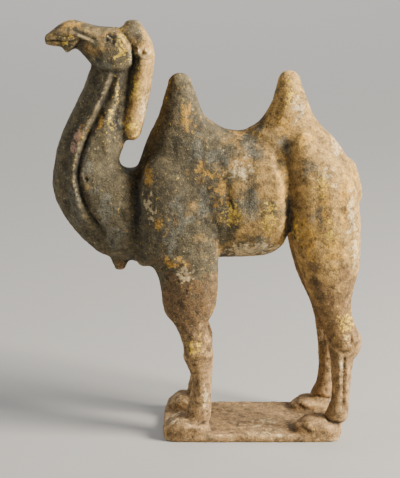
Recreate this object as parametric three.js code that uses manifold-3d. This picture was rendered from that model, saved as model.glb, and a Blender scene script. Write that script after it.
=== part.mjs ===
// A terracotta Bactrian camel on a thin slab, its head raised and its mane hanging in one thick pad.
// Millimetres, +Z up. The head is towards -X and the figure's left flank towards -Y.
// The origin is the middle of the slab's underside. The camel and its slab were fired as one piece.
import * as THREE from 'three';
import Module from 'manifold-3d';

// Driving dimensions
const muzzleReach = 185.4; // from the middle of the slab to the lips
const rumpReach = 98.5; // to the outer side of the tail
const slabLength = 162;
const slabWidth = 94;
const slabThickness = 7;
const slabCorner = 12;
const bellyHeight = 164;
const saddleHeight = 279;
const frontHumpHeight = 331.5;
const rearHumpHeight = 334;
const barrelHalfWidth = 41.5;
const farHindStep = 10; // the far hind foot stands this much further forward

// One cross-section: a chord seen from the side, from one [x, z] to another, with its half width
// and the y of its middle.
const cut = (from, to, halfWidth, y = 0) => ({ from, to, halfWidth, y });
// A level cross-section of a leg or a hump, and an upright one of the body.
const level = (z, front, back, halfWidth, y = 0) => cut([front, z], [back, z], halfWidth, y);
const upright = (x, top, bottom, halfWidth) => cut([x, top], [x, bottom], halfWidth);

const power = (value, exponent) => Math.sign(value) * Math.abs(value) ** exponent;

// A closed skin through the cross-sections. Each ring is a superellipse, 2 for an ellipse and more
// for a boxier one, and a dome closes each end. The relief, where there is one, moves a point
// towards the middle plane.
function loft(cuts, { around = 24, steps = 2, domes = [4, 4], domeSteps = 2, boxiness = 2, relief } = {}) {
  const spline = (points) => new THREE.CatmullRomCurve3(points, false, 'catmullrom', 0.5);
  const fronts = spline(cuts.map((c) => new THREE.Vector3(c.from[0], c.y, c.from[1])));
  const backs = spline(cuts.map((c) => new THREE.Vector3(c.to[0], c.y, c.to[1])));
  const widths = spline(cuts.map((c, i) => new THREE.Vector3(i, c.halfWidth, 0)));
  const count = (cuts.length - 1) * steps;
  const middle = (t) => fronts.getPoint(t).add(backs.getPoint(t)).multiplyScalar(0.5);
  const outward = (end) => {
    const chord = fronts.getPoint(end).sub(backs.getPoint(end));
    const normal = new THREE.Vector3(-chord.z, 0, chord.x).normalize();
    const away = middle(end).sub(middle(end ? 1 - 1 / count : 1 / count));
    return normal.multiplyScalar(Math.sign(normal.dot(away)) || 1);
  };
  const rings = [];
  const ring = (t, size, shift) => {
    const centre = middle(t).add(shift);
    const half = fronts.getPoint(t).sub(backs.getPoint(t)).multiplyScalar(size / 2);
    const halfWidth = widths.getPoint(t).y * size;
    rings.push(
      Array.from({ length: around }, (_, k) => {
        const angle = (2 * Math.PI * k) / around;
        const side = power(Math.sin(angle), 2 / boxiness);
        const point = half.clone().multiplyScalar(power(Math.cos(angle), 2 / boxiness)).add(centre);
        const carved = relief ? relief(point.x, point.z) * Math.abs(side) : 0;
        point.y += side * halfWidth - Math.sign(side) * carved;
        return point;
      }),
    );
  };
  const dome = (end) => {
    const normal = outward(end);
    const turns = Array.from({ length: domeSteps - 1 }, (_, i) => ((i + 1) * Math.PI) / 2 / domeSteps);
    const height = domes[end];
    if (!end) turns.reverse();
    for (const turn of turns) {
      ring(end, Math.cos(turn), normal.clone().multiplyScalar(height * Math.sin(turn)));
    }
    return middle(end).addScaledVector(normal, height);
  };
  const first = dome(0);
  for (let i = 0; i <= count; i++) ring(i / count, 1, new THREE.Vector3());
  const last = dome(1);
  return skin(first, rings, last);
}

// Rings of points joined into one closed mesh, with a point at each end.
function skin(first, rings, last) {
  const around = rings[0].length;
  const points = [first, ...rings.flat(), last];
  const faces = [];
  const at = (ring, k) => 1 + ring * around + (k % around);
  for (let k = 0; k < around; k++) {
    faces.push([0, at(0, k + 1), at(0, k)]);
    for (let r = 0; r + 1 < rings.length; r++) {
      faces.push([at(r, k), at(r, k + 1), at(r + 1, k + 1)], [at(r, k), at(r + 1, k + 1), at(r + 1, k)]);
    }
    faces.push([points.length - 1, at(rings.length - 1, k), at(rings.length - 1, k + 1)]);
  }
  const geometry = new THREE.BufferGeometry().setFromPoints(points);
  return geometry.setIndex(faces.flat());
}

// Distance in the side view from a point to a line of points.
function distanceTo(line, x, z) {
  let nearest = Infinity;
  for (let i = 0; i + 1 < line.length; i++) {
    const [ax, az] = line[i];
    const [bx, bz] = line[i + 1];
    const along = ((x - ax) * (bx - ax) + (z - az) * (bz - az)) / ((bx - ax) ** 2 + (bz - az) ** 2);
    const t = Math.min(1, Math.max(0, along));
    nearest = Math.min(nearest, Math.hypot(x - ax - t * (bx - ax), z - az - t * (bz - az)));
  }
  return nearest;
}

// Grooves, deep where positive, and ridges, where negative, pressed in from both sides as the mould did.
const carving = (marks) => (x, z) =>
  marks.reduce((sum, m) => sum + m.depth * Math.exp(-((distanceTo(m.line, x, z) / m.width) ** 2)), 0);

// The barrel of the body, from the breast to the fold in front of the thigh.
function barrel() {
  return loft(
    [
      upright(-101, 246, 166, 25),
      upright(-90, 262, bellyHeight - 5, 32),
      upright(-68, 277, bellyHeight - 5, 37),
      upright(-40, saddleHeight + 1, bellyHeight - 1, 39),
      upright(-10, saddleHeight, bellyHeight, barrelHalfWidth + 0.5),
      upright(12, saddleHeight - 1, bellyHeight + 2, barrelHalfWidth + 1),
      upright(26, 274, bellyHeight + 10, 41),
      upright(32.5, 264, bellyHeight + 23, 36),
    ],
    { around: 22, domes: [5, 3.5], boxiness: 2.15 },
  );
}

// The croup, with the hollow between the buttocks that the tail lies in.
function rump() {
  return loft(
    [
      upright(16, 274, 200, 30),
      upright(40, 278, 184, 33),
      upright(60, 275, 172, 35),
      upright(78, 261.5, 168, 33),
      upright(87, 251, 178, 24),
      upright(91.5, 243, 190, 15),
    ],
    { around: 16, domes: [6, 2], boxiness: 2.1 },
  );
}

// A hump is a soft cone whose skirt runs out over the back.
function frontHump() {
  return loft(
    [
      level(242, -107, 8, 29),
      level(252, -101.6, 4, 29.5),
      level(268, -96.4, -6, 27),
      level(277.5, -92.2, -19, 23.5),
      level(284.5, -88.5, -32, 19),
      level(293, -84.8, -42.8, 15),
      level(303, -81.6, -47.8, 12.4),
      level(315, -78.2, -52, 10.6),
      level(frontHumpHeight - 10, -76.2, -54.6, 9.2),
    ],
    { around: 16, domes: [3, 10], domeSteps: 3 },
  );
}

function rearHump() {
  return loft(
    [
      level(250, -24, 88, 30),
      level(268, -16, 76.5, 27),
      level(279, -8, 66, 23),
      level(286.5, 3.5, 59, 18.5),
      level(295.5, 11, 53, 14.6),
      level(306, 16.4, 48.8, 12),
      level(318, 20.1, 44.4, 10.4),
      level(rearHumpHeight - 9.4, 21.6, 42, 9),
    ],
    { around: 16, domes: [3, 9.4], domeSteps: 3 },
  );
}

// Down each side of the neck run a groove, a ridge, a deeper groove and a broad ridge, below the
// line of the jaw.
const neckMarks = carving([
  { line: [[-141, 322], [-148, 304], [-163, 275], [-167.7, 246], [-164, 210]], width: 3.4, depth: 1.6 },
  { line: [[-127.5, 334], [-138.8, 304], [-151.2, 281], [-159, 252]], width: 3, depth: -1.6 },
  { line: [[-159.6, 248], [-159.6, 236], [-153.7, 212], [-146, 196]], width: 3, depth: -1.4 },
  { line: [[-126, 324], [-136, 300], [-148, 277], [-156, 246], [-134, 192]], width: 3.8, depth: 2.2 },
  { line: [[-119, 326], [-123, 308], [-129, 297], [-132, 285], [-129.5, 264]], width: 4, depth: -1.7 },
]);

function neck() {
  return loft(
    [
      cut([-141, 350], [-108, 355], 11.5),
      cut([-145.6, 334], [-105.5, 336], 13.4),
      cut([-152, 317], [-105, 316], 15.6),
      cut([-161.8, 297], [-107, 296], 18),
      cut([-171, 277.5], [-113, 275], 20.5),
      cut([-177.5, 256], [-119.6, 258], 23),
      cut([-180.3, 232], [-119, 247], 25.5),
      cut([-176, 213], [-104, 243], 27.8),
      cut([-166.5, 195.5], [-94, 236], 29.6),
      cut([-151.5, 178], [-88, 222], 30.4),
      cut([-136, 166], [-80, 204], 29.4),
      cut([-118, 163.5], [-72, 192], 27.6),
      cut([-101, 157.5], [-62, 190], 26),
    ],
    { around: 32, domes: [4, 3], relief: neckMarks },
  );
}

// Mouth, corner of the lips, the ridge and the groove below the brow, the eye's hollow and the rim
// of the jaw.
const headMarks = carving([
  { line: [[-184, 361], [-164, 361.2], [-156, 363.6]], width: 1.7, depth: 1.8 },
  { line: [[-152.6, 366], [-155, 359], [-160.4, 353.4]], width: 2.2, depth: 2 },
  { line: [[-170, 368], [-161, 369], [-153.4, 366.6], [-141, 361]], width: 2.2, depth: -1.3 },
  { line: [[-158, 370.8], [-151, 368.4], [-140, 363.4]], width: 2.2, depth: 1.4 },
  { line: [[-130, 364.6], [-122, 363]], width: 5, depth: 2 },
  { line: [[-119, 368.5], [-112.5, 360], [-111, 348], [-114, 341]], width: 3.8, depth: -1.6 },
]);

function head() {
  return loft(
    [
      cut([-183, 366.2], [-182.6, 357], 8),
      cut([-176.5, 371.2], [-176.5, 355.8], 10),
      cut([-169.5, 376.2], [-170, 354.8], 11.4),
      cut([-161.5, 379.2], [-165.4, 350], 12.2),
      cut([-153, 377.8], [-157.5, 353.4], 12.4),
      cut([-143, 374.7], [-150.5, 347.6], 13.8),
      cut([-134, 373], [-142, 338], 16.2),
      cut([-125, 372.6], [-130, 331], 17.8),
      cut([-117.5, 371], [-118, 330.4], 17.8),
      cut([-112, 365], [-108, 337], 15),
    ],
    { around: 20, domes: [muzzleReach - 183.3, 3], domeSteps: 3, boxiness: 2.2, relief: headMarks },
  );
}

// The mane: a crown above the poll, a tie, and one thick pad down the back of the neck.
const maneMarks = carving([
  { line: [[-106, 345.8], [-86, 345.3]], width: 1.8, depth: 1.2 },
  { line: [[-102.6, 353], [-100.2, 353.8]], width: 2.8, depth: -1.8 },
  { line: [[-95.4, 351.6], [-93.4, 352.2]], width: 2.8, depth: -1.8 },
]);

function mane() {
  return loft(
    [
      cut([-114.5, 374.8], [-99.8, 375.6], 6.6),
      cut([-119.5, 369.5], [-96, 370], 10.5),
      cut([-114, 361.5], [-90.9, 361], 12.6),
      cut([-108.5, 352], [-88.2, 351.5], 13),
      cut([-107, 345], [-87.9, 344], 13.2),
      cut([-110, 332], [-89.6, 331], 15),
      cut([-113.5, 318], [-91.4, 317], 16),
      cut([-117, 302], [-94.6, 301], 16.2),
      cut([-119.6, 288], [-97.6, 287], 15.4),
      cut([-119.6, 280.6], [-100, 278.8], 13.2),
    ],
    { around: 16, domes: [4, 9], domeSteps: 3, boxiness: 2.3, relief: maneMarks },
  );
}

// A thin tail lying on the croup, its end lost.
function tail() {
  return loft(
    [
      cut([81, 251], [88.2, 256], 3.8),
      cut([86, 243.5], [93, 248], 4.8),
      cut([88, 233], [96.8, 236], 4.8),
      cut([89, 220], [rumpReach + 0.6, 222], 4.6),
      cut([90, 213], [98, 212], 3.8),
    ],
    { around: 8, domes: [1.5, 2] },
  );
}

// What is left of a tuft under the breast, its end broken off.
function breastTuft() {
  return loft(
    [
      level(176, -143, -112, 13),
      level(166, -131.8, -111.5, 9.5),
      level(158, -127.8, -112.8, 7.5),
      level(153.4, -125.4, -115.4, 5),
    ],
    { around: 12, steps: 1, domes: [3, 3] },
  );
}

// The breast swells below on each side, between the tuft and the shoulder.
function breastLobe(side) {
  return loft([level(176, -106, -84, 9, side * 18.5), level(165, -105.4, -85, 9.5, side * 20)], {
    around: 12,
    steps: 1,
    domes: [3, 6],
    boxiness: 2.2,
  });
}

// A leg's levels: height, front and back in the side view, half width, and how far out it stands.
const foreLevels = [
  [266, -84, -58, 7, 15], // top of the shoulder
  [252, -95, -45, 12, 20.4],
  [232, -100.4, -36, 15, 24.8],
  [208, -101.6, -31, 16.4, 26.8],
  [186, -101.4, -29.6, 16.8, 27.4],
  [174, -98.6, -30.4, 16.6, 27.4],
  [166, -94.6, -31, 16.2, 27.4],
  [159, -89.4, -31.2, 15.8, 27.5],
  [151, -85, -31.2, 15.4, 27.8],
  [138, -82.6, -31.6, 15, 28], // forearm
  [125, -81, -33.2, 14, 28.5],
  [116, -78, -37, 12.9, 29],
  [108, -71, -41, 11.8, 29.3],
  [97, -66, -38.8, 11.4, 29.6],
  [85, -62.6, -36.2, 12, 30], // knee
  [75, -62.4, -35.6, 11.4, 30],
  [63, -57, -36.4, 9.6, 30],
  [51, -54.6, -36.8, 9, 30], // cannon
  [37, -57, -37.2, 9.2, 30.2],
  [25, -59.6, -37.4, 9.8, 30.4],
  [17, -60.6, -38, 9.4, 30.6], // heel
];
const hindLevels = [
  [279.5, 37, 51, 7, 21.5], // point of the hip
  [272.5, 33, 57.5, 11.5, 23.6],
  [262, 31.6, 71, 14.6, 25],
  [248, 31.4, 82, 16.6, 26],
  [234, 31.6, 90, 17.4, 27],
  [214, 32.4, 94.6, 17.6, 27.4],
  [194, 34.2, 95.8, 17.6, 27.4],
  [174, 37.4, 96, 17, 27.5],
  [158, 42, 94.8, 16, 27.6],
  [145, 46.5, 91.8, 14.4, 28],
  [131, 52.6, 89, 12.6, 28.5],
  [119, 58.6, 89.2, 11.4, 29],
  [107, 63.8, 92.2, 11, 29.4],
  [97, 66.6, 97.4, 11.2, 29.6],
  [89, 68.2, 98.8, 11.2, 29.6], // hock
  [81, 69.6, 96.6, 10.6, 30],
  [74, 70.8, 92.4, 9.6, 30],
  [62, 71.8, 90.4, 9, 30],
  [48, 72.6, 89.4, 8.8, 30],
  [35, 71.8, 88.6, 9.2, 30.2],
  [24, 67.4, 88.4, 9.8, 30.4],
  [17, 65, 87.2, 9.4, 30.6], // heel
];
const stepBelow = 210; // the far legs part from the near ones below this height
const aboveKnee = 101;

// The side is -1 for the near leg and 1 for the far one, which stands further forward towards its foot.
// Above its knee a slim leg's back is drawn in.
function leg(levels, side, step, slim = 0) {
  const cuts = levels.map(([z, front, back, halfWidth, out]) => {
    const forward = step * (Math.min(1, Math.max(0, stepBelow - z) / stepBelow) ** 0.5);
    const drawn = slim * Math.exp(-(((z - aboveKnee) / 15) ** 2));
    return level(z, front - forward, back - forward - drawn, halfWidth, side * out);
  });
  return loft(cuts, { around: 12, steps: 1, domes: [4, 4] });
}

// A broad pad, flush with the slab's edge and sunk in its top.
function foot(heelX, toeX, side, padHeight) {
  const spreadAt = [12, 15.8, 16.5, 16, 12];
  const heightAt = [0.7, 0.93, 1, 0.96, 0.7];
  const sunk = 3;
  const cuts = spreadAt.map((halfWidth, i) => {
    const x = heelX + ((toeX - heelX) * i) / (spreadAt.length - 1);
    return cut([x, padHeight * heightAt[i]], [x, sunk], halfWidth, side * (slabWidth / 2 - spreadAt[2]));
  });
  return loft(cuts, { around: 14, steps: 1, domes: [3.4, 3.4], domeSteps: 3, boxiness: 3.1 });
}

// The slab, with softened corners and edges.
function slab() {
  const softening = 1;
  const x = slabLength / 2 - softening;
  const y = slabWidth / 2 - softening;
  const r = slabCorner - softening;
  const outline = new THREE.Shape();
  outline.moveTo(-x + r, -y).lineTo(x - r, -y).absarc(x - r, -y + r, r, -Math.PI / 2, 0);
  outline.lineTo(x, y - r).absarc(x - r, y - r, r, 0, Math.PI / 2);
  outline.lineTo(-x + r, y).absarc(-x + r, y - r, r, Math.PI / 2, Math.PI);
  outline.lineTo(-x, -y + r).absarc(-x + r, -y + r, r, Math.PI, 1.5 * Math.PI);
  const geometry = new THREE.ExtrudeGeometry(outline, {
    depth: slabThickness - 2 * softening,
    bevelThickness: softening,
    bevelSize: softening,
    bevelSegments: 1,
    curveSegments: 4,
  });
  return geometry.translate(0, 0, softening);
}

const wasm = await Module();
wasm.setup();

// Points closer than this are one point.
const weld = 1e-3;

function solidOf(geometry) {
  const position = geometry.getAttribute('position');
  const unshared = Array.from({ length: position.count }, (_, i) => i);
  const index = geometry.index ? geometry.index.array : unshared;
  const seen = new Map();
  const points = [];
  const triangles = [];
  for (const i of index) {
    const point = [position.getX(i), position.getY(i), position.getZ(i)];
    const key = point.map((value) => Math.round(value / weld)).join();
    if (!seen.has(key)) {
      seen.set(key, seen.size);
      points.push(...point);
    }
    triangles.push(seen.get(key));
  }
  const vertProperties = new Float32Array(points);
  const make = (faces) =>
    new wasm.Manifold(new wasm.Mesh({ numProp: 3, vertProperties, triVerts: new Uint32Array(faces) }));
  const made = make(triangles);
  return made.volume() < 0 ? make(triangles.reverse()) : made;
}

function geometryOf(solid) {
  const mesh = solid.getMesh();
  const geometry = new THREE.BufferGeometry();
  geometry.setAttribute('position', new THREE.BufferAttribute(mesh.vertProperties, 3));
  geometry.setIndex(new THREE.BufferAttribute(mesh.triVerts, 1));
  geometry.computeVertexNormals();
  return geometry;
}

const near = -1;
const far = 1;
const forms = [
  barrel(),
  rump(),
  frontHump(),
  rearHump(),
  neck(),
  head(),
  mane(),
  tail(),
  breastTuft(),
  breastLobe(near),
  breastLobe(far),
  leg(foreLevels, near, 0),
  leg(foreLevels, far, 0, 3),
  leg(hindLevels, near, 0),
  leg(hindLevels, far, farHindStep),
  foot(-42, -78, near, 20.5),
  foot(-44, -75.6, far, 21),
  foot(79, 42, near, 20),
  foot(73, 41, far, 17.5),
  slab(),
];
const camelSolid = forms.map(solidOf).reduce((whole, form) => whole.add(form));

const clay = new THREE.MeshStandardMaterial({ color: 0x84715a, roughness: 0.88, metalness: 0 });
const camel = new THREE.Mesh(geometryOf(camelSolid), clay);
camel.name = 'camel';

const figure = new THREE.Group();
figure.add(camel);
export default figure;
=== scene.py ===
import math

import bpy
import numpy as np
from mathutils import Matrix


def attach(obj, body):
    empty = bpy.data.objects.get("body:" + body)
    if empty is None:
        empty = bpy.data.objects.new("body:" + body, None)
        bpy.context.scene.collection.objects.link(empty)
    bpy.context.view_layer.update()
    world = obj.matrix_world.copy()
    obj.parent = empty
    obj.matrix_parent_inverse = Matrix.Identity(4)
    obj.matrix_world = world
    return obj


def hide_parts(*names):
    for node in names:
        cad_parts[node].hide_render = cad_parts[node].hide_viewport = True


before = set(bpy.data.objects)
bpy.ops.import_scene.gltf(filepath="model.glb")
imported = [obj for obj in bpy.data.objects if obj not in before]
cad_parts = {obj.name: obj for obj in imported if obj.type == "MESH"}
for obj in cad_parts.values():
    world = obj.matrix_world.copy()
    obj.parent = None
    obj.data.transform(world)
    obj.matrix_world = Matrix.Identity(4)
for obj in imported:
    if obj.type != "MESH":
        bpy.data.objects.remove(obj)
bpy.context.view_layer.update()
print("stage: the frame is loaded")

mm = 0.001

# The camel with its slab. Lengths are in millimetres.
camel = {
    "voxel": 1.05,  # cell of the skin before it is thinned
    "triangles": 192000,  # of the finished piece
    "seamWidth": 7.0,  # how far a seam between two forms is smoothed out
    "seamPasses": 160,
    "handMade": 0.55,  # height of the broad unevenness
    "ripple": 0.42,  # height of the narrower unevenness
    "grain": 0.34,  # height of the fine roughness
    "crust": 0.6,  # height of the burial crust on the legs and the slab
    "pits": 0.55,  # depth of the small pits
    "roughness": 0.86,
    "tan": (0.34, 0.205, 0.06),
    "oliveAndShade": (0.088, 0.07, 0.036),
    "umber": (0.15, 0.083, 0.03),
    "dark": (0.02, 0.016, 0.01),
    "slate": (0.135, 0.132, 0.1),
    "ochre": (0.5, 0.265, 0.032),
    "yellow": (0.66, 0.44, 0.05),
    "cream": (0.64, 0.5, 0.28),
    "pink": (0.42, 0.24, 0.16),
    "soil": (0.29, 0.176, 0.072),
}


# Points on a curve through the given rows: each stretch is a cubic whose slope at a row is half the step between
# the rows on either side of it.
def splineThrough(rows, share):
    place = share * (len(rows) - 1)
    first = np.minimum(place.astype(int), len(rows) - 2)
    t = (place - first)[:, None]
    padded = np.vstack([2 * rows[0] - rows[1], rows, 2 * rows[-1] - rows[-2]])
    a, b, c, d = (padded[first + k] for k in range(4))
    return b + 0.5 * t * (c - a + t * (2 * a - 5 * b + 4 * c - d + t * (3 * (b - c) + d - a)))


# A closed skin through cross-sections. A row is the front point and the back point of the section in the side view,
# its half width and the y of its middle. A ring is a superellipse: the chord times cos(angle) and the width times
# sin(angle), each to the power 2 / boxiness. Elliptic domes close the ends.
def loftForm(rows, domes=(4, 4), boxiness=2.0, around=80, steps=10, domeSteps=8):
    rows = np.array(rows, float)
    rows = splineThrough(rows, np.linspace(0, 1, (len(rows) - 1) * steps + 1))
    middle = (rows[:, 0:2] + rows[:, 2:4]) / 2
    half = (rows[:, 0:2] - rows[:, 2:4]) / 2
    turn = np.linspace(0, math.pi / 2, domeSteps + 1)[1:-1]
    parts = []
    poles = []
    for end, inner, height in ((0, 1, domes[0]), (-1, -2, domes[1])):
        normal = np.array([-half[end, 1], half[end, 0]])
        normal *= np.sign(normal @ (middle[end] - middle[inner])) / np.linalg.norm(normal)
        rise = turn[::-1] if end == 0 else turn
        parts.append(
            np.column_stack(
                [
                    middle[end] + normal * height * np.sin(rise)[:, None],
                    half[end] * np.cos(rise)[:, None],
                    rows[end, 4] * np.cos(rise),
                    np.full(len(rise), rows[end, 5]),
                ]
            )
        )
        poles.append([*(middle[end] + normal * height), rows[end, 5]])
    rings = np.vstack([parts[0], np.column_stack([middle, half, rows[:, 4:6]]), parts[1]])
    angle = np.linspace(0, 2 * math.pi, around, endpoint=False)
    along = np.sign(np.cos(angle)) * np.abs(np.cos(angle)) ** (2 / boxiness)
    across = np.sign(np.sin(angle)) * np.abs(np.sin(angle)) ** (2 / boxiness)
    x = rings[:, 0:1] + rings[:, 2:3] * along
    z = rings[:, 1:2] + rings[:, 3:4] * along
    y = rings[:, 5:6] + rings[:, 4:5] * across
    points = np.vstack([np.stack([x, y, z], -1).reshape(-1, 3), [[p[0], p[2], p[1]] for p in poles]])
    ring, k = np.meshgrid(np.arange(len(rings) - 1), np.arange(around), indexing="ij")
    after = (k + 1) % around
    quads = np.stack([ring * around + k, ring * around + after, (ring + 1) * around + after, (ring + 1) * around + k], -1)
    k = np.arange(around)
    after = (k + 1) % around
    last = (len(rings) - 1) * around
    start, stop = len(points) - 2, len(points) - 1
    fans = np.vstack(
        [np.column_stack([np.full(around, start), after, k]), np.column_stack([np.full(around, stop), last + k, last + after])]
    )
    return points, quads.reshape(-1, 4), fans


def upright(x, top, bottom, halfWidth, y=0):
    return (x, top, x, bottom, halfWidth, y)


def level(z, front, back, halfWidth, y=0):
    return (front, z, back, z, halfWidth, y)


near, far = -1, 1


def bodyForms():
    barrel = [
        upright(-101, 246, 166, 25),
        upright(-90, 262, 159, 32),
        upright(-68, 277, 159, 37),
        upright(-40, 280, 163, 39),
        upright(-10, 279, 164, 42),
        upright(12, 278, 166, 42.5),
        upright(26, 274, 174, 41),
        upright(32.5, 264, 187, 36),
    ]
    rump = [
        upright(16, 274, 200, 30),
        upright(40, 278, 184, 33),
        upright(60, 275, 172, 35),
        upright(78, 261.5, 168, 33),
        upright(87, 251, 178, 24),
        upright(91.5, 243, 190, 15),
    ]
    frontHump = [
        level(242, -107, 8, 29),
        level(252, -101.6, 4, 29.5),
        level(268, -96.4, -6, 27),
        level(277.5, -92.2, -19, 23.5),
        level(284.5, -88.5, -32, 19),
        level(293, -84.8, -42.8, 15),
        level(303, -81.6, -47.8, 12.4),
        level(315, -78.2, -52, 10.6),
        level(321.5, -76.2, -54.6, 9.2),
    ]
    rearHump = [
        level(250, -24, 88, 30),
        level(268, -16, 76.5, 27),
        level(279, -8, 66, 23),
        level(286.5, 3.5, 59, 18.5),
        level(295.5, 11, 53, 14.6),
        level(306, 16.4, 48.8, 12),
        level(318, 20.1, 44.4, 10.4),
        level(324.5, 21.6, 42, 9),
    ]
    tail = [
        (81, 251, 88.2, 256, 3.8, 0),
        (86, 243.5, 93, 248, 4.8, 0),
        (88, 233, 96.8, 236, 4.8, 0),
        (89, 220, 99.1, 222, 4.6, 0),
        (90, 213, 98, 212, 3.8, 0),
    ]
    breastTuft = [
        level(176, -143, -112, 13),
        level(166, -131.8, -111.5, 9.5),
        level(158, -127.8, -112.8, 7.5),
        level(153.4, -125.4, -115.4, 5),
    ]
    breastLobes = [
        loftForm([level(176, -106, -84, 9, side * 18.5), level(165, -105.4, -85, 9.5, side * 20)], (3, 6), 2.2, 48)
        for side in (near, far)
    ]
    return [
        loftForm(barrel, (5, 3.5), 2.15, 140),
        loftForm(rump, (6, 2), 2.1, 120),
        loftForm(frontHump, (3, 10), 2, 100),
        loftForm(rearHump, (3, 9.4), 2, 100),
        loftForm(tail, (1.5, 2), 2, 40),
        loftForm(breastTuft, (3, 3), 2, 48),
        *breastLobes,
    ]


def neckAndHeadForms():
    neck = [
        (-141, 350, -108, 355, 11.5, 0),
        (-145.6, 334, -105.5, 336, 13.4, 0),
        (-152, 317, -105, 316, 15.6, 0),
        (-161.8, 297, -107, 296, 18, 0),
        (-171, 277.5, -112, 275, 20.5, 0),
        (-177.5, 256, -118.8, 258, 23, 0),
        (-180.3, 232, -119, 247, 25.5, 0),
        (-176, 213, -104, 243, 27.8, 0),
        (-166.5, 195.5, -94, 236, 29.6, 0),
        (-151.5, 178, -88, 222, 30.4, 0),
        (-136, 166, -80, 204, 29.4, 0),
        (-118, 163.5, -72, 192, 27.6, 0),
        (-101, 157.5, -62, 190, 26, 0),
    ]
    head = [
        (-183, 366.2, -182.6, 357, 8, 0),
        (-176.5, 371.2, -176.5, 355.8, 10, 0),
        (-169.5, 376.2, -170, 354.8, 11.4, 0),
        (-161.5, 379.2, -165.4, 350, 12.2, 0),
        (-153, 377.8, -157.5, 353.4, 12.4, 0),
        (-143, 374.7, -150.5, 347.6, 13.8, 0),
        (-134, 373, -142, 338, 16.2, 0),
        (-125, 372.6, -130, 331, 17.8, 0),
        (-117.5, 371, -118, 330.4, 17.8, 0),
        (-112, 365, -108, 337, 15, 0),
    ]
    mane = [
        (-114.5, 374.8, -99.8, 375.6, 6.6, 0),
        (-119.5, 369.5, -96, 370, 10.5, 0),
        (-114, 361.5, -90.9, 361, 12.6, 0),
        (-108.5, 352, -88.2, 351.5, 13, 0),
        (-107, 345, -87.9, 344, 13.2, 0),
        (-110, 332, -89.6, 331, 15, 0),
        (-113.5, 318, -91.4, 317, 16, 0),
        (-117, 302, -94.6, 301, 16.2, 0),
        (-119.6, 288, -97.6, 287, 15.4, 0),
        (-119.6, 280.6, -100, 278.8, 13.2, 0),
    ]
    return [
        loftForm(neck, (4, 3), 2, 140),
        loftForm(head, (2.1, 3), 2.2, 110),
        loftForm(mane, (4, 9), 2.2, 90),
    ]


# Height, front, back, half width and how far out, from the shoulder or the hip down to the heel.
foreLevels = [
    (266, -84, -58, 7, 15),
    (252, -95, -45, 12, 20.4),
    (232, -100.4, -36, 15, 24.8),
    (208, -101.6, -31, 16.4, 26.8),
    (186, -101.4, -29.6, 16.8, 27.4),
    (174, -98.6, -30.4, 16.6, 27.4),
    (166, -94.6, -31, 16.2, 27.4),
    (159, -89.4, -31.2, 15.8, 27.5),
    (151, -85, -31.2, 15.4, 27.8),
    (138, -82.6, -31.6, 15, 28),
    (125, -81, -33.2, 14, 28.5),
    (116, -78, -37, 12.9, 29),
    (108, -71, -41, 11.8, 29.3),
    (97, -66, -38.8, 11.4, 29.6),
    (85, -62.6, -36.2, 12, 30),
    (75, -62.4, -35.6, 11.4, 30),
    (63, -57, -36.4, 9.6, 30),
    (51, -54.6, -36.8, 9, 30),
    (37, -57, -37.2, 9.2, 30.2),
    (25, -59.6, -37.4, 9.8, 30.4),
    (17, -60.6, -38, 9.4, 30.6),
]
hindLevels = [
    (279.5, 37, 51, 7, 21.5),
    (272.5, 33, 57.5, 11.5, 23.6),
    (262, 31.6, 71, 14.6, 25),
    (248, 31.4, 82, 16.6, 26),
    (234, 31.6, 90, 17.4, 27),
    (214, 32.4, 94.6, 17.6, 27.4),
    (194, 34.2, 95.8, 17.6, 27.4),
    (174, 37.4, 96, 17, 27.5),
    (158, 42, 94.8, 16, 27.6),
    (145, 46.5, 91.8, 14.4, 28),
    (131, 52.6, 89, 12.6, 28.5),
    (119, 58.6, 89.2, 11.4, 29),
    (107, 63.8, 92.2, 11, 29.4),
    (97, 66.6, 97.4, 11.2, 29.6),
    (89, 68.2, 98.8, 11.2, 29.6),
    (81, 69.6, 96.6, 10.6, 30),
    (74, 70.8, 92.4, 9.6, 30),
    (62, 71.8, 90.4, 9, 30),
    (48, 72.6, 89.4, 8.8, 30),
    (35, 71.8, 88.6, 9.2, 30.2),
    (24, 67.4, 88.4, 9.8, 30.4),
    (17, 65, 87.2, 9.4, 30.6),
]


# Below 210 mm the far legs stand further forward, by step times the square root of the way down. Above the knee the
# back of a slim leg is drawn in by slim millimetres.
def legForm(levels, side, step, slim=0):
    z, front, back, halfWidth, out = np.array(levels, float).T
    forward = step * np.sqrt(np.clip((210 - z) / 210, 0, 1))
    back = back - slim * np.exp(-(((z - 101) / 15) ** 2))
    return loftForm(np.column_stack([front - forward, z, back - forward, z, halfWidth, side * out]), (4, 4), 2, 72)


# A broad pad between its heel and its toe, sunk in the slab.
def footForm(heelX, toeX, side, padHeight):
    x = np.linspace(heelX, toeX, 5)
    top = padHeight * np.array([0.7, 0.93, 1, 0.96, 0.7])
    halfWidth = np.array([12, 15.8, 16.5, 16, 12])
    return loftForm(np.column_stack([x, top, x, np.full(5, 3), halfWidth, np.full(5, side * 30.5)]), (3.4, 3.4), 3.1, 72)


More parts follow.
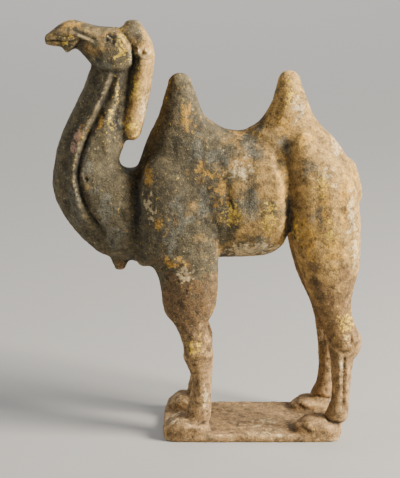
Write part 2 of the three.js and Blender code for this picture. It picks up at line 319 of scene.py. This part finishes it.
# The slab as a superellipse in plan, stacked in levels whose edge is drawn in at the top and the bottom.
def slabForm():
    z = np.array([0.0, 0.6, 1.6, 3.5, 5.4, 6.4, 7.0])
    inset = np.array([1.6, 0.5, 0.1, 0, 0.1, 0.5, 1.6])
    side = np.array([81.0, 47.0])
    angle = np.linspace(0, 2 * math.pi, 400, endpoint=False)
    turn = np.column_stack([np.cos(angle), np.sin(angle)])
    reach = 1 / (np.abs(turn) ** 12).sum(1) ** (1 / 12)
    plan = turn * reach[:, None]
    points = np.concatenate([np.column_stack([plan * (side - i), np.full(400, h)]) for i, h in zip(inset, z)])
    points = np.vstack([points, [[0, 0, 0], [0, 0, 7]]])
    ring, k = np.meshgrid(np.arange(len(z) - 1), np.arange(400), indexing="ij")
    after = (k + 1) % 400
    quads = np.stack([ring * 400 + k, ring * 400 + after, (ring + 1) * 400 + after, (ring + 1) * 400 + k], -1)
    k = np.arange(400)
    after = (k + 1) % 400
    last = (len(z) - 1) * 400
    fans = np.vstack(
        [np.column_stack([np.full(400, len(points) - 2), after, k]), np.column_stack([np.full(400, len(points) - 1), last + k, last + after])]
    )
    return points, quads.reshape(-1, 4), fans


def allForms():
    return [
        *bodyForms(),
        *neckAndHeadForms(),
        legForm(foreLevels, near, 0),
        legForm(foreLevels, far, 0, 3),
        legForm(hindLevels, near, 0),
        legForm(hindLevels, far, 10),
        footForm(-42, -78, near, 20.5),
        footForm(-44, -75.6, far, 21),
        footForm(79, 42, near, 20),
        footForm(73, 41, far, 17.5),
        slabForm(),
    ]


# All forms in one mesh, then one skin over them, its cells voxel millimetres wide.
def oneSkin(forms, voxel):
    offsets = np.cumsum([0] + [len(f[0]) for f in forms[:-1]])
    points = np.concatenate([f[0] for f in forms])
    faces = []
    for (p, quads, fans), offset in zip(forms, offsets):
        faces += (quads + offset).tolist() + (fans + offset).tolist()
    rough = bpy.data.meshes.new("forms")
    rough.from_pydata(points * mm, [], faces)
    holder = bpy.data.objects.new("forms", rough)
    bpy.context.collection.objects.link(holder)
    remesh = holder.modifiers.new("skin", "REMESH")
    remesh.mode = "VOXEL"
    remesh.voxel_size = voxel * mm
    whole = holder.evaluated_get(bpy.context.evaluated_depsgraph_get())
    mesh = bpy.data.meshes.new_from_object(whole)
    bpy.data.objects.remove(holder)
    bpy.data.meshes.remove(rough)
    return mesh


# The mesh as arrays: points in millimetres, edges and quads.
def arraysOf(mesh):
    points = np.empty(len(mesh.vertices) * 3)
    mesh.vertices.foreach_get("co", points)
    edges = np.empty(len(mesh.edges) * 2, np.int32)
    mesh.edges.foreach_get("vertices", edges)
    corners = np.empty(len(mesh.loops), np.int32)
    mesh.loops.foreach_get("vertex_index", corners)
    return points.reshape(-1, 3) / mm, edges.reshape(-1, 2), corners.reshape(-1, 4)


class Skin:
    def __init__(self, mesh):
        self.mesh = mesh
        self.points, self.edges, self.quads = arraysOf(mesh)
        self.count = len(self.points)
        self.degree = np.bincount(self.edges.ravel(), minlength=self.count).astype(float)

    # The mean of a value over each point's neighbours.
    def spread(self, values):
        a, b = self.edges.T
        columns = values.reshape(self.count, -1)
        total = np.column_stack(
            [np.bincount(a, c[b], self.count) + np.bincount(b, c[a], self.count) for c in columns.T]
        )
        return (total / self.degree[:, None]).reshape(values.shape)

    def normals(self):
        p = self.points[self.quads]
        faceNormal = np.cross(p[:, 2] - p[:, 0], p[:, 3] - p[:, 1])
        total = np.column_stack(
            [sum(np.bincount(self.quads[:, k], faceNormal[:, i], self.count) for k in range(4)) for i in range(3)]
        )
        return total / np.maximum(np.linalg.norm(total, axis=1), 1e-9)[:, None]

    # Each point moves towards the mean of its neighbours, then a little less far back, which keeps the volume.
    def smooth(self, passes, weight=1.0, forward=0.6, backward=-0.62):
        weight = np.asarray(weight, float).reshape(-1, 1)
        for _ in range(passes):
            for step in (forward, backward):
                self.points += weight * step * (self.spread(self.points) - self.points)

    # Plain averaging, which fills a seam.
    def fill(self, passes, weight):
        for _ in range(passes):
            self.points += weight[:, None] * 0.5 * (self.spread(self.points) - self.points)

    # How hollow the skin is at each point: the mean of its surroundings stands above it, in millimetres.
    def hollow(self, passes):
        around = self.points.copy()
        for _ in range(passes):
            around = self.spread(around)
        return ((around - self.points) * self.normals()).sum(1)

    def move(self, height):
        self.points += self.normals() * height[:, None]


# 1 inside the span, falling to 0 over the edge width on both sides.
def inside(value, low, high, edge):
    rise = np.clip((value - low) / edge + 0.5, 0, 1)
    drop = np.clip((high - value) / edge + 0.5, 0, 1)
    return (rise * rise * (3 - 2 * rise)) * (drop * drop * (3 - 2 * drop))


def smoothStep(value, low, high):
    t = np.clip((value - low) / (high - low), 0, 1)
    return t * t * (3 - 2 * t)


# Gradient noise: a random slope at each corner of a lattice, blended across the cell. It runs from about -1 to 1.
def noiseAt(points, size, seed):
    p = points / size + seed * 17.31
    cell = np.floor(p).astype(np.int64)
    f = p - cell
    w = f * f * f * (f * (f * 6 - 15) + 10)
    total = np.zeros(len(points))
    for corner in np.ndindex(2, 2, 2):
        c = cell + corner
        h = (c[:, 0] * 73856093) ^ (c[:, 1] * 19349663) ^ (c[:, 2] * 83492791) ^ (seed * 2654435)
        h = (h ^ (h >> 13)) * 1274126177 & 0x7FFFFFFF
        slope = np.stack([(h >> 3) % 1024, (h >> 11) % 1024, (h >> 19) % 1024], -1) / 511.5 - 1
        weight = np.prod(np.where(np.array(corner), w, 1 - w), axis=1)
        total += weight * ((f - corner) * slope).sum(1)
    return total * 1.6


# Octaves of the noise, each half as wide and a little over half as high as the one before.
def roughAt(points, size, seed, octaves=4, gain=0.55):
    total = sum(gain**k * noiseAt(points, size / 2**k, seed + k) for k in range(octaves))
    return total / sum(gain**k for k in range(octaves))


# Distance in the side view from every point to a line of [x, z] points, and how far along the line the nearest place is.
def distanceTo(points, line):
    xz = points[:, [0, 2]]
    nearest = np.full(len(points), np.inf)
    along = np.zeros(len(points))
    done = 0.0
    for a, b in zip(line[:-1], line[1:]):
        length = max(np.linalg.norm(b - a), 1e-9)
        t = np.clip((xz - a) @ (b - a) / length**2, 0, 1)
        far = np.linalg.norm(xz - a - t[:, None] * (b - a), axis=1)
        along = np.where(far < nearest, done + t * length, along)
        nearest = np.minimum(nearest, far)
        done += length
    return nearest, along, done


# A stroke along a line of points in the side view, 1 in the middle: exp(-(distance / width)^2), fading over both ends.
def strokeAt(points, line, width):
    line = np.array(line, float)
    if len(line) > 2:
        line = splineThrough(line, np.linspace(0, 1, 4 * len(line)))
    reach = np.flatnonzero(
        (np.abs(points[:, 0] - line[:, 0].mean()) < np.ptp(line[:, 0]) / 2 + 4 * width)
        & (np.abs(points[:, 2] - line[:, 1].mean()) < np.ptp(line[:, 1]) / 2 + 4 * width)
    )
    distance, along, length = distanceTo(points[reach], line)
    fade = np.minimum(length / 3, 3 * width)
    ends = smoothStep(along, -fade * 0.2, fade) * smoothStep(length - along, -fade * 0.2, fade)
    stroke = np.zeros(len(points))
    stroke[reach] = np.exp(-((distance / width) ** 2)) * ends
    return stroke


# Strokes pressed into the flanks, or raised where the depth is negative, uneven as a tool leaves them.
def pressed(skin, normals, strokes):
    sideways = smoothStep(np.abs(normals[:, 1]), 0.1, 0.5)
    uneven = 1 + 0.35 * noiseAt(skin.points, 9, 5)
    return -sum(depth * strokeAt(skin.points, line, width) for line, width, depth in strokes) * sideways * uneven


# Line in the side view, width and depth in millimetres.
neckStrokes = [
    ([(-139, 342), (-141.5, 320), (-148, 304), (-156, 290), (-163.2, 275), (-167.7, 246), (-167.2, 228), (-163, 206)], 3.4, 1.5),
    ([(-124, 344), (-129.9, 324), (-138.8, 304), (-151.2, 281), (-159, 252), (-159.6, 236), (-153.7, 212), (-144, 192)], 2.6, -1.5),
    ([(-122, 338), (-126.5, 322), (-136, 300), (-147.8, 277), (-155.5, 252), (-156, 240), (-146, 209), (-130, 186)], 3.4, 2.0),
    ([(-146, 281), (-152.9, 264), (-156, 246), (-154, 226), (-146, 209.5), (-136.9, 197)], 1.3, 0.9),
    ([(-117, 334), (-120.5, 322), (-123, 308), (-129, 297), (-132, 285), (-130, 272), (-129, 258)], 4.0, -1.7),
    ([(-129, 261), (-137, 252.6), (-144, 244)], 2.2, -0.6),
    ([(-113.5, 333), (-117.9, 317.5), (-120.6, 302), (-122, 284)], 2.4, 1.0),
    ([(-150, 243), (-147, 238)], 1.3, 1.2),
    ([(-118, 214), (-114, 200)], 3.0, 0.8),
    ([(-138, 340.4), (-133.9, 336.8), (-128, 335), (-121, 334.6), (-114, 335.6), (-109.6, 338)], 1.7, 1.6),
]
headStrokes = [
    ([(-187, 360.6), (-183.1, 361), (-175.7, 361.8), (-169.8, 361.3), (-163.5, 361.1), (-158.8, 362), (-155.3, 364)], 0.9, 1.5),
    ([(-152.6, 366), (-153.8, 361.5), (-157.4, 356.6), (-160.4, 353.4)], 1.5, 1.4),
    ([(-156, 365), (-158.6, 360), (-163, 354.6)], 2.6, -1.1),
    ([(-170, 366), (-160.4, 366)], 0.9, 0.6),
    ([(-171, 358.4), (-160, 358.8)], 0.9, 0.6),
    ([(-172, 367.4), (-165, 369.4), (-159.2, 368.8), (-153.4, 366.6), (-146.4, 363.9), (-139.5, 360.5)], 1.6, -1.1),
    ([(-160, 371.2), (-156.9, 370.5), (-151.1, 368.4), (-145.3, 365.6), (-138.6, 363)], 1.5, 1.1),
    ([(-178, 366), (-175, 367.8), (-173, 369)], 0.9, 0.8),
    ([(-132, 365), (-126.6, 363.8), (-120.6, 362.4)], 4.2, 1.9),
    ([(-129.6, 366.4), (-124, 361.4)], 0.9, -1.1),
    ([(-128.8, 361), (-124.4, 365.4)], 0.8, -1.0),
    ([(-133, 367.6), (-126, 369.6), (-120, 367.4)], 2.6, -0.6),
    ([(-121, 370), (-115.4, 366), (-111.6, 358), (-110.4, 349), (-113.6, 340)], 3.8, -1.3),
    ([(-107.6, 361), (-105.6, 354), (-105.8, 346), (-109, 339)], 1.9, 0.7),
    ([(-140, 344.4), (-133, 340.4), (-121, 338.6), (-112, 341)], 2.6, -0.9),
    ([(-146, 356), (-138, 350), (-131, 347)], 3.0, 0.5),
]
maneStrokes = [
    ([(-106, 345.8), (-98, 346), (-86, 345.3)], 1.2, 0.8),
    ([(-102.6, 353.2), (-100.2, 353.8)], 2.8, -1.8),
    ([(-95.4, 351.6), (-93.4, 352.2)], 2.8, -1.8),
    ([(-97.8, 355.6), (-97.2, 350)], 1.3, 0.9),
    ([(-104, 368), (-103.6, 362), (-103, 357)], 2.6, 0.8),
    ([(-112, 330), (-116.5, 312), (-119, 296), (-118, 280)], 3.0, 1.0),
    ([(-98, 330), (-102, 310), (-105, 292)], 3.4, -0.5),
]
bodyStrokes = [
    ([(-35, 268), (-30.2, 254.6), (-23, 236), (-22, 222), (-21, 206), (-24, 186)], 4.6, 1.3),
    ([(16, 268), (22, 259.7), (29.5, 234.3), (32, 214), (30.5, 194.6), (26, 180)], 3.8, 2.4),
    ([(30.5, 277.6), (26, 269.5), (20.5, 262)], 5.4, 1.7),
    ([(-98, 188), (-88, 176), (-70, 170), (-50, 172)], 4.5, -0.9),
    ([(-86, 164), (-70, 159), (-46, 160), (-32, 166)], 4.0, 0.6),
    ([(-33, 206), (-30, 188), (-30, 172)], 2.0, 0.8),
    ([(50, 262), (56, 236), (55, 206), (60, 180)], 4.4, 0.6),
    ([(64, 250), (70, 226), (70, 198)], 3.6, -0.6),
    ([(78, 240), (80, 214), (80, 190)], 3.2, 0.5),
    ([(66, 262), (73, 252), (77, 243)], 3.0, 0.6),
    ([(-6, 262), (-4, 240), (-8, 216)], 6.0, 0.6),
    ([(-56, 262), (-62, 236), (-60, 208)], 6.0, 0.5),
    ([(-68, 300), (-72, 282), (-84, 262)], 5.0, -0.5),
    ([(31, 318), (29, 300), (22, 282)], 4.2, -0.6),
    ([(24, 308), (18, 292), (6, 280)], 4.2, 0.7),
    ([(-116, 163), (-113, 158), (-112, 152)], 2.4, 1.2),
]
legStrokes = [
    ([(83, 97.6), (83.8, 94.6)], 4.2, -1.8),
    ([(88.8, 102), (88.9, 95), (88, 88.4)], 1.5, 1.4),
    ([(75.5, 87.4), (82, 84.4), (88.4, 87.6)], 2.0, 1.2),
    ([(82.8, 81), (82.6, 55), (82.4, 28)], 1.3, 1.2),
    ([(79.2, 81), (79, 64), (79.4, 46)], 1.6, -0.8),
    ([(86, 74), (86.2, 50), (85.4, 26)], 1.5, -0.6),
    ([(-58, 96), (-55, 84), (-53, 74)], 3.6, -0.8),
    ([(-62, 118), (-52, 106), (-44, 98)], 3.4, 0.7),
    ([(-72, 146), (-68, 132), (-60, 120)], 4.0, 0.5),
    ([(-44, 148), (-42, 128), (-42, 112)], 3.6, -0.6),
    ([(-50, 66), (-47, 50), (-46, 34)], 2.6, -0.4),
    ([(60, 21), (64.8, 20.6), (73.2, 17.6), (82.2, 14.6), (88, 15)], 1.7, 1.7),
    ([(41.8, 14.1), (48, 12.6), (52, 8)], 1.5, 0.9),
    ([(-62, 19.8), (-56, 18.4), (-50.8, 16.4), (-38.6, 16.6)], 1.7, 1.7),
]

skin = Skin(oneSkin(allForms(), camel["voxel"]))
print("stage: one skin of", skin.count, "points")

# The seams between two forms are hollow lines. They are widened and filled, less so where the photograph keeps them crisp.
skin.smooth(4)
seam = np.clip(skin.hollow(6) * 4, 0, 1)
for _ in range(int(camel["seamWidth"] / camel["voxel"]) ** 2 // 2):
    seam = np.maximum(seam * 0.995, skin.spread(seam))
x, y, z = skin.points.T
headShare = smoothStep(z, 328, 340) * smoothStep(-x, 100, 108)
maneShare = inside(x, -124, -84, 4) * inside(z, 266, 385, 4)
crisp = np.maximum(headShare, maneShare * 0.92)
crisp = np.maximum(crisp, inside(z, -5, 30, 4) * 0.85)
crisp = np.maximum(crisp, inside(x, 22, 42, 6) * inside(z, 170, 260, 20) * 0.7)
skin.fill(camel["seamPasses"], np.clip(seam * 3, 0, 1) * (1 - crisp))
skin.smooth(3)
print("stage: seams filled")

normals = skin.normals()
height = pressed(skin, normals, neckStrokes) * (1 - headShare)
height += pressed(skin, normals, headStrokes) * headShare * (1 - smoothStep(x, -108, -104))
height += pressed(skin, normals, maneStrokes) * smoothStep(x, -110, -106)
height += pressed(skin, normals, bodyStrokes + legStrokes)
skin.move(height)
print("stage: strokes pressed")

# Hand-made unevenness, grain, crust and pits.
soil = 1 - smoothStep(skin.points[:, 2], 60, 150)
height = camel["handMade"] * roughAt(skin.points, 26, 3, 3)
height += camel["ripple"] * roughAt(skin.points, 9, 7, 3)
height += camel["grain"] * roughAt(skin.points, 3.2, 11, 3)
height += camel["crust"] * soil * np.maximum(roughAt(skin.points, 7, 21, 4), -0.2)
pits = smoothStep(roughAt(skin.points, 4.2, 31, 2), 0.34, 0.62)
height -= camel["pits"] * pits * (0.4 + 0.6 * smoothStep(roughAt(skin.points, 40, 35, 2), -0.2, 0.4))
skin.move(height * (1 - 0.5 * headShare))
skin.points[:, 2] = np.maximum(skin.points[:, 2], 0)


# The finished arrays go back in the mesh and it is thinned to the wanted triangles.
def finishedPiece(skin, name, triangles):
    mesh = skin.mesh
    mesh.vertices.foreach_set("co", (skin.points * mm).ravel())
    mesh.update()
    piece = bpy.data.objects.new(name, mesh)
    bpy.context.collection.objects.link(piece)
    thin = piece.modifiers.new("thin", "DECIMATE")
    thin.ratio = triangles / (2 * len(mesh.polygons))
    thin.use_collapse_triangulate = True
    done = bpy.data.meshes.new_from_object(piece.evaluated_get(bpy.context.evaluated_depsgraph_get()))
    piece.modifiers.clear()
    piece.data = done
    done.name = name
    done.shade_smooth()
    return piece


def storeShare(mesh, name, values):
    layer = mesh.attributes.new(name, "FLOAT", "POINT")
    layer.data.foreach_set("value", values.astype(np.float32))


# Places of the worn paint, the slip, the dirt, painted shade and painted highlights in the side view: x, z and how far
# they reach each way.
patches = {
    "ochre": [
        (-60, 295, 7, 13), (-12, 282, 9, 6), (27, 287, 8, 8), (46, 277, 10, 7), (63, 222, 6, 24), (80, 225, 6, 26),
        (50, 189, 7, 22), (23, 232, 6, 20), (-28, 235, 9, 15), (-83, 203, 8, 9), (-92, 243, 6, 12), (-43, 250, 10, 8),
        (72, 180, 10, 18), (-154, 280, 4, 9), (-136, 293, 4, 10), (-74, 169, 14, 6), (-160, 376, 9, 4), (88, 240, 4, 14),
    ],
    "yellow": [
        (-164, 366, 8, 2.6), (-164, 359, 8, 3), (-117, 362, 5.5, 11), (-116, 350, 6, 7), (-120, 315, 3.4, 11),
        (-127, 294, 3.6, 13), (-103, 321, 5, 16), (-107, 285, 7, 10), (32, 312, 5, 16), (13, 207, 8, 17),
        (-19, 213, 10, 15), (-52, 89, 8, 11), (84, 110, 8, 13), (38, 200, 5, 14), (60, 240, 8, 12), (68, 196, 7, 14),
    ],
    "slate": [
        (-52, 269, 9, 15), (-43, 221, 9, 21), (-2, 269, 12, 9), (-3, 220, 13, 14), (49, 256, 9, 9), (-74, 189, 11, 11),
        (-159, 221, 8, 24), (-150, 253, 6, 20), (-123, 190, 11, 13), (-132, 217, 11, 19), (-119, 287, 5, 8),
        (-65, 212, 11, 21), (-34, 261, 10, 9), (60, 212, 6, 11), (28, 272, 8, 8), (12, 180, 12, 8), (-136, 345, 9, 8),
    ],
    # The cream patches are partly slip and partly painted highlights on the haunch's right edge, the hock and the
    # shanks.
    "cream": [
        (76, 267, 8, 8), (86, 210, 5, 26), (-12, 252, 15, 9), (-43, 38, 4.4, 13), (83, 97, 4, 4), (79.5, 72, 2.2, 10),
        (-73, 20, 7, 4), (-61, 157, 9, 10), (41, 303, 6, 13), (62, 246, 9, 9), (-92, 217, 5, 13), (0, 176, 30, 10),
        (-98, 351, 8, 5), (-96, 300, 4, 20), (90, 180, 4, 24), (10, 14, 20, 8),
    ],
    "pink": [(-156, 278, 4, 8), (-160, 268, 2.6, 5)],
    # These dark patches are partly dark paint round the eye and partly painted shade: on the mane's left side, in the
    # belly fold and in the neck's grooves and crease.
    "sootAndShade": [
        (-126.6, 363.7, 6, 4), (-106.4, 344, 2.4, 6), (-111, 160, 5, 5), (32, 190, 5, 12), (30, 218, 3, 16),
        (-118, 320, 2.4, 16), (-120, 290, 2.4, 12), (-156, 244, 2.6, 22), (-134, 308, 2.4, 16), (-104, 214, 3, 26),
    ],
    "eyeStrands": [(-127.6, 364.4, 2.6, 0.6), (-125.4, 362.6, 2.2, 0.6)],
}


# 1 at a patch's middle and exp(-distance^2) around it, the outline bent by noise. The far flank's patches lie elsewhere.
def patchShare(points, places):
    bend = np.stack([noiseAt(points, 12, 41), noiseAt(points, 12, 43)], -1) * 3
    farSide = smoothStep(points[:, 1], -4, 4)
    x = points[:, 0] + bend[:, 0] + 13 * farSide
    z = points[:, 2] + bend[:, 1] - 8 * farSide
    share = np.zeros(len(points))
    for middleX, middleZ, reachX, reachZ in places:
        share = np.maximum(share, np.exp(-(((x - middleX) / reachX) ** 2) - ((z - middleZ) / reachZ) ** 2))
    return share


x, y, z = skin.points.T
storeShare(skin.mesh, "hollowFine", skin.hollow(4))
storeShare(skin.mesh, "hollowBroad", skin.hollow(60))
storeShare(skin.mesh, "soil", soil)
storeShare(skin.mesh, "low", 1 - smoothStep(z, 120, 190))
maneFront = np.interp(z, [268, 278, 287, 301, 317, 329, 342, 350, 360], [-111, -116, -117, -116, -113, -109, -104, -102, -103])
maneBack = np.interp(z, [268, 280, 287, 302, 318, 332, 345, 361, 370], [-98, -98, -95, -92, -89, -87, -85, -87, -90])
tanParts = smoothStep(x - maneFront, -1, 9) * smoothStep(maneBack - x, -1, 1) * smoothStep(z, 262, 270)
tanParts = np.maximum(tanParts * 0.9, 0.4 * smoothStep(z, 345, 356))
# Olive towards the front and tan towards the back: partly the clay's own tone, partly painted shade on the front, away
# from the key light.
storeShare(skin.mesh, "oliveAndShade", (1 - smoothStep(x, -90, 75)) * (1 - tanParts))
for name, places in patches.items():
    storeShare(skin.mesh, name, patchShare(skin.points, places))
camelPiece = finishedPiece(skin, "clayCamel", camel["triangles"])
print("stage: finished piece of", len(camelPiece.data.polygons), "triangles")


# A shader socket that adds and multiplies like a number; node() makes any other node.
class Wire:
    def __init__(self, tree, socket=None):
        self.tree, self.socket = tree, socket

    def node(self, kind, inputs=(), output=0, **settings):
        made = self.tree.nodes.new("ShaderNode" + kind)
        for name, value in settings.items():
            setattr(made, name, value)
        for key, value in dict(inputs).items():
            if isinstance(value, Wire):
                self.tree.links.new(value.socket, made.inputs[key])
            else:
                made.inputs[key].default_value = value
        return Wire(self.tree, made.outputs[output])

    def maths(self, operation, *others, **settings):
        return self.node("Math", enumerate((self, *others)), operation=operation, **settings)

    def __add__(self, other):
        return self.maths("ADD", other)

    __radd__ = __add__

    def __mul__(self, other):
        return self.maths("MULTIPLY", other)

    __rmul__ = __mul__

    def __sub__(self, other):
        return self.maths("SUBTRACT", other)

    def __rsub__(self, other):
        return self * -1 + other

    # 0 below low, 1 above high and a smooth rise between.
    def step(self, low, high):
        return self.node("MapRange", {0: self, 1: low, 2: high}, interpolation_type="SMOOTHSTEP")

    # This colour with the other laid over it by the share.
    def under(self, colour, share):
        colour = colour if isinstance(colour, Wire) else (*colour, 1)
        return self.node("Mix", {0: share, 6: self, 7: colour}, output=2, data_type="RGBA")


def clayMaterial():
    material = bpy.data.materials.new("clay")
    material.use_nodes = True
    tree = material.node_tree
    tree.nodes.clear()
    start = Wire(tree)
    place = start.node("TexCoord", output="Object")

    # Noise of the given size in millimetres, from 0 to 1.
    def noise(size, detail=4, shift=0.0, stretch=(1, 1, 1), roughness=0.55):
        moved = start.node("Mapping", {0: place, 1: (shift, shift, shift), 3: stretch})
        return start.node(
            "TexNoise", {"Vector": moved, "Scale": 1 / (size * mm), "Detail": detail, "Roughness": roughness}
        )

    def share(name):
        return start.node("Attribute", output="Fac", attribute_name=name)

    # The share where it is broken up by noise: wide is how far the noise reaches.
    def broken(name, size, wide, low, high, shift):
        return (share(name) + (noise(size, 6, shift) - 0.5) * wide).step(low, high)

    # Olive in front and tan behind: partly the clay's own tone, partly painted shade.
    colour = start.node("Mix", {0: broken("oliveAndShade", 15, 2.2, 0.25, 0.75, 1.1), 6: (*camel["tan"], 1), 7: (*camel["oliveAndShade"], 1)}, output=2, data_type="RGBA")
    colour = colour.under(camel["umber"], broken("low", 13, 2.6, 0.3, 0.8, 2.3) * 0.85)
    colour = colour.under(camel["soil"], broken("soil", 8, 3, 0.5, 0.9, 5.2) * 0.8)
    colour = colour.under(camel["slate"], broken("slate", 9, 3, 0.35, 0.8, 3.1) * 0.55)
    colour = colour.under(camel["ochre"], broken("ochre", 6, 3.4, 0.45, 0.85, 7.7) * 0.6)
    # Cream patches: partly slip, partly painted highlights.
    colour = colour.under(camel["cream"], broken("cream", 4, 3.4, 0.5, 0.9, 8.3) * 0.6)
    colour = colour.under(camel["pink"], broken("pink", 4, 2, 0.4, 0.6, 6.1) * 0.8)
    colour = colour.under(camel["yellow"], broken("yellow", 3, 4.4, 0.66, 0.96, 4.9) * 0.75)
    grime = noise(7, 7, 11.3, roughness=0.65).step(0.5, 0.64) * 0.5
    colour = colour.under(camel["dark"], grime)
    colour = colour.under(camel["dark"], noise(1.5, 3, 12.1).step(0.56, 0.68) * (share("oliveAndShade") * 0.4 + 0.35))
    colour = colour.under(camel["cream"], noise(1.5, 3, 13.7).step(0.63, 0.72) * 0.3)
    # Darker in the fine and the broad hollows: partly dirt, partly painted shade.
    colour = colour.under(camel["dark"], share("hollowFine").step(0.04, 0.55) * 0.75)
    colour = colour.under(camel["dark"], share("hollowBroad").step(0.3, 3.0) * 0.5)
    worn = (share("hollowFine") * -1).step(0.06, 0.5) * noise(4, 4, 14.9).step(0.4, 0.6)
    colour = colour.under(camel["cream"], worn * 0.3)
    # Dark patches: partly dark paint, partly painted shade.
    colour = colour.under(camel["dark"], broken("sootAndShade", 3, 2.4, 0.35, 0.7, 15.1) * 0.85)
    colour = colour.under(camel["cream"], broken("eyeStrands", 2, 1, 0.4, 0.6, 16.1) * 0.8)
    grain = (noise(1.7, 3, 21.3) - 0.5) * 1.7 + (noise(6, 5, 22.7, roughness=0.6) - 0.5) * 2.4 + 1
    # Darker in broad hollows and lighter on bulges: partly dirt and wear, partly painted shade and painted light.
    dirtShadeAndShine = 1.1 - share("hollowBroad").node("Clamp", {0: share("hollowBroad"), 1: -1.4, 2: 2.4}) * 0.3
    colour = start.node("VectorMath", {0: colour, "Scale": grain * dirtShadeAndShine}, operation="SCALE")
    bump = start.node("Bump", {"Height": noise(1.5, 4, 9.9, roughness=0.65), "Distance": 0.9 * mm, "Strength": 1.0})
    surface = start.node(
        "BsdfPrincipled", {"Base Color": colour, "Roughness": camel["roughness"], "Normal": bump}
    )
    tree.links.new(surface.socket, tree.nodes.new("ShaderNodeOutputMaterial").inputs[0])
    return material


camelPiece.data.materials.clear()
camelPiece.data.materials.append(clayMaterial())
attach(camelPiece, "root")
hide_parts("camel")

# The floor, the light and the camera at the photograph's angle.
studio = {"floor": (0.42, 0.41, 0.39), "key": 100.0, "left": 12.0, "front": 3.0, "backdrop": 130.0, "world": 0.03}


def floorPiece():
    mesh = bpy.data.meshes.new("floor")
    reach = 14.0
    mesh.from_pydata([(-reach, -reach, 0), (reach, -reach, 0), (reach, reach, 0), (-reach, reach, 0)], [], [(0, 1, 2, 3)])
    floor = bpy.data.objects.new("floor", mesh)
    bpy.context.collection.objects.link(floor)
    material = bpy.data.materials.new("floor")
    material.use_nodes = True
    shader = material.node_tree.nodes["Principled BSDF"]
    shader.inputs["Base Color"].default_value = (*studio["floor"], 1)
    shader.inputs["Roughness"].default_value = 0.9
    mesh.materials.append(material)
    return floor


def areaLight(name, place, aim, size, power, colour=(1, 1, 1)):
    data = bpy.data.lights.new(name, "AREA")
    data.size = size
    data.energy = power
    data.color = colour
    light = bpy.data.objects.new(name, data)
    bpy.context.collection.objects.link(light)
    light.location = place
    direction = np.array(aim) - np.array(place)
    light.rotation_euler = (
        math.atan2(math.hypot(direction[0], direction[1]), -direction[2]),
        0,
        math.atan2(direction[1], direction[0]) - math.pi / 2,
    )
    return light


floorPiece()
areaLight("key", (1.37, -0.45, 0.98), (0, 0, 0.2), 0.65, studio["key"], (1, 0.94, 0.84))
areaLight("left", (-1.4, 0.1, 1.15), (0, 0, 0.25), 0.5, studio["left"], (0.95, 0.97, 1))
areaLight("front", (0.4, -1.8, 0.9), (0, 0, 0.2), 1.0, studio["front"])
areaLight("backdrop", (0, 3.6, 2.0), (0, 3.6, 0), 4.0, studio["backdrop"])
world = bpy.data.worlds.new("studio")
world.use_nodes = True
world.node_tree.nodes["Background"].inputs[0].default_value = (0.8, 0.8, 0.82, 1)
world.node_tree.nodes["Background"].inputs[1].default_value = studio["world"]
bpy.context.scene.world = world

cameraData = bpy.data.cameras.new("photoCamera")
cameraData.sensor_width = 36
cameraData.lens = 145.65
cameraObject = bpy.data.objects.new("photoCamera", cameraData)
bpy.context.collection.objects.link(cameraObject)
cameraObject.location = (-0.0475, -1.7, 0.625)
cameraObject.rotation_euler = (math.radians(90 - 14.7), 0, 0)
bpy.context.scene.camera = cameraObject

print("stage: done")
